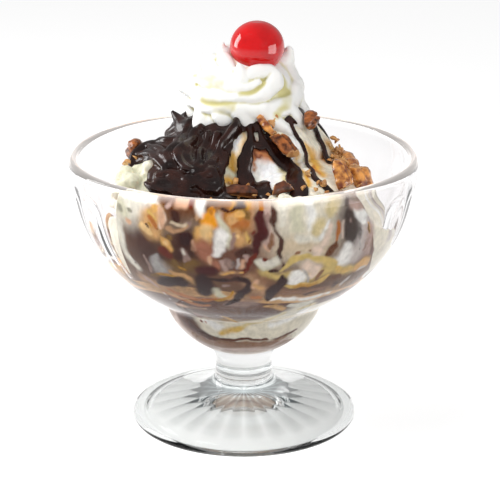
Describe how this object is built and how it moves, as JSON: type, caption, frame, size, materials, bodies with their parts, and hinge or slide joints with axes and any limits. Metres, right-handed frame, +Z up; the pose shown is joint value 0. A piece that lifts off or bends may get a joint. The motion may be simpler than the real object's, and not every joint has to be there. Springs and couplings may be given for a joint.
{
  "type": "ice cream sundae",
  "caption": "Hot fudge and caramel sundae with vanilla scoops, pecans, whipped cream and a cherry in a footed pressed-glass dish.",
  "frame": {"origin": "centre of the foot's underside, on the plane it stands on", "axes": "+Z up through the stem; the sundae's front faces -Y, with +X to the right"},
  "size_m": [0.1202, 0.1202, 0.1435],
  "materials": {
    "glass": "clear pressed glass, fluted inside the bowl and ribbed under the foot",
    "ice_cream": "soft vanilla ice cream, slightly melted",
    "fudge": "glossy dark hot fudge sauce",
    "caramel": "glossy caramel sauce",
    "whipped_cream": "soft whipped cream",
    "cherry": "wet glossy red cherry",
    "pecan": "roasted pecan pieces"
  },
  "bodies": {
    "root": {"glass_dish": "glass", "fudge_pool": "fudge", "ice_cream_band": "ice_cream", "fudge_layer": "fudge", "caramel_layer": "caramel", "scoop_top": "ice_cream", "scoop_left": "ice_cream", "scoop_right": "ice_cream", "scoop_back": "ice_cream", "fudge_blanket": "fudge", "pecan_1": "pecan", "pecan_2": "pecan", "pecan_3": "pecan", "pecan_4": "pecan", "pecan_5": "pecan", "pecan_6": "pecan", "pecan_7": "pecan", "pecan_8": "pecan", "pecan_9": "pecan", "pecan_10": "pecan", "pecan_11": "pecan", "pecan_12": "pecan", "whipped_cream": "whipped_cream", "cherry": "cherry"}
  },
  "joints": []
}
